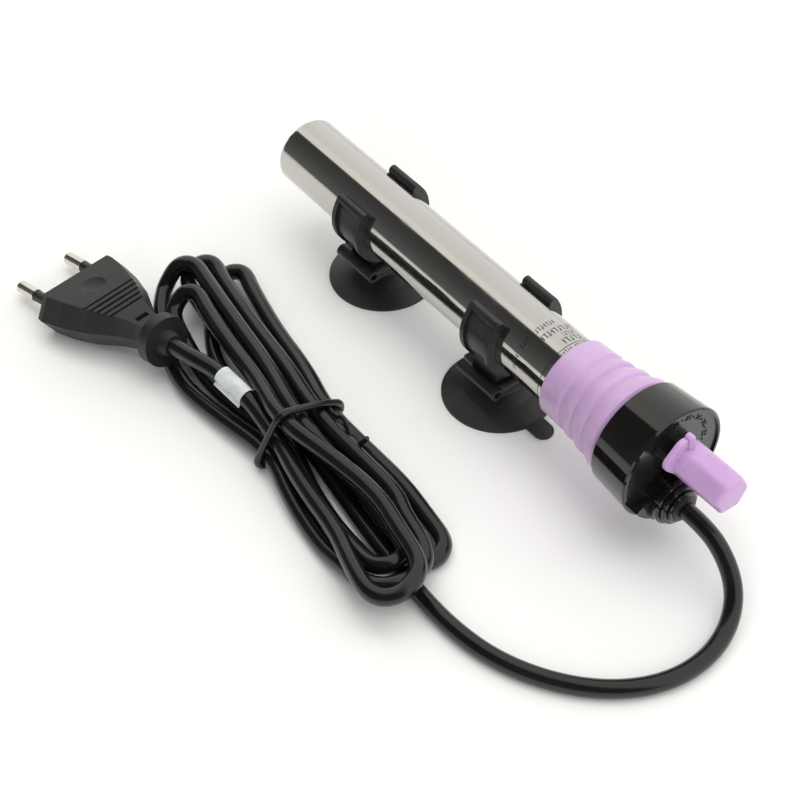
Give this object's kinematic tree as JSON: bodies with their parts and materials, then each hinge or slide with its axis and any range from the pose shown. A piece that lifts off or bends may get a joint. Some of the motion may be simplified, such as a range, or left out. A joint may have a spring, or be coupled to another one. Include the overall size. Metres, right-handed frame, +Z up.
{
  "type": "submersible aquarium heater",
  "caption": "Steel tube aquarium heater with a rubber boot, temperature knob, clip-on suction cups and a hanked mains cord ending in a flat two pin plug.",
  "frame": {"origin": "on the floor under the middle of the heater's own bounding box, measured without the cord and plug", "axes": "+X along the tube toward the knob, +Z up from the suction cups"},
  "size_m": [0.2387, 0.1171, 0.0458],
  "materials": {
    "steel": "polished",
    "lavender": "satin moulded",
    "knob_plastic": "satin moulded",
    "cap_plastic": "gloss moulded",
    "black_rubber": "matte",
    "clip_plastic": "matte moulded",
    "cord_jacket": "satin",
    "plug_plastic": "fine textured",
    "nickel": "nickel plated",
    "ceramic": "unglazed",
    "coil_wire": "drawn",
    "brass_part": "plain",
    "board": "plain",
    "shaft_steel": "turned",
    "insulation": "plain",
    "component": "plain",
    "lamp_glass": "clear",
    "wire_a": "plain",
    "wire_b": "plain",
    "label_paper": "plain",
    "white_rubber": "plain"
  },
  "bodies": {
    "heater": {"bimetal_strip": "shaft_steel", "capacitor": "component", "ceramic_core": "ceramic", "ceramic_disc_front": "ceramic", "ceramic_disc_rear": "ceramic", "cord_hank": "cord_jacket", "cord_label": "label_paper", "cord_lead": "cord_jacket", "cord_tail": "cord_jacket", "cord_tie": "clip_plastic", "end_stopper": "white_rubber", "fixed_contact": "brass_part", "head_cap": "cap_plastic", "heater_tube": "steel", "heating_coil": "coil_wire", "indicator_lamp": "lamp_glass", "insulating_sleeve": "insulation", "outlet_bush": "black_rubber", "outlet_ring": "cap_plastic", "pin_sleeve_far": "clip_plastic", "pin_sleeve_near": "clip_plastic", "pivot_bracket": "brass_part", "pivot_pin": "shaft_steel", "plug_body": "plug_plastic", "plug_pin_far": "nickel", "plug_pin_near": "nickel", "rubber_boot": "lavender", "shaft_seal": "black_rubber", "strip_post": "brass_part", "thermal_fuse": "insulation", "thermostat_board": "board", "wire_live": "wire_a", "wire_neutral": "wire_b"},
    "knob": {"temperature_knob": "knob_plastic", "knob_shaft": "shaft_steel"},
    "nut": {"adjust_nut": "brass_part"},
    "arm": {"contact_arm": "brass_part", "moving_contact": "brass_part"},
    "rear_clip_body": {"rear_clip": "clip_plastic"},
    "front_clip_body": {"front_clip": "clip_plastic"},
    "rear_cup_body": {"rear_cup": "black_rubber"},
    "front_cup_body": {"front_cup": "black_rubber"}
  },
  "joints": [
    {"name": "knob_turn", "type": "hinge", "parent": "heater", "child": "knob", "pos_m": [0.0773, 0.00111, 0.03246], "axis": [1, 0, 0], "range_deg": [-160, 56]},
    {"name": "nut_travel", "type": "slide", "parent": "heater", "child": "nut", "axis": [1, 0, 0], "range_m": [-0.00178, 0.00062]},
    {"name": "contact_close", "type": "hinge", "parent": "heater", "child": "arm", "pos_m": [0.002, 0, 0.0278], "axis": [0, 1, 0], "range_deg": [-2, 2.8], "stiffness_Nm_per_rad": 0.01},
    {"name": "rear_clip_slide", "type": "slide", "parent": "heater", "child": "rear_clip_body", "axis": [1, 0, 0], "range_m": [-0.028, 0.012]},
    {"name": "front_clip_slide", "type": "slide", "parent": "heater", "child": "front_clip_body", "axis": [1, 0, 0], "range_m": [-0.012, 0.018]},
    {"name": "rear_cup_turn", "type": "hinge", "parent": "rear_clip_body", "child": "rear_cup_body", "pos_m": [-0.05775, 0.002, 0.01], "axis": [0, 0, 1], "continuous": true},
    {"name": "front_cup_turn", "type": "hinge", "parent": "front_clip_body", "child": "front_cup_body", "pos_m": [0.00445, -0.002, 0.01], "axis": [0, 0, 1], "continuous": true}
  ],
  "couplings": [
    {"joint": "knob_turn", "follows": "nut_travel", "rad_per_m": 1570.8}
  ]
}
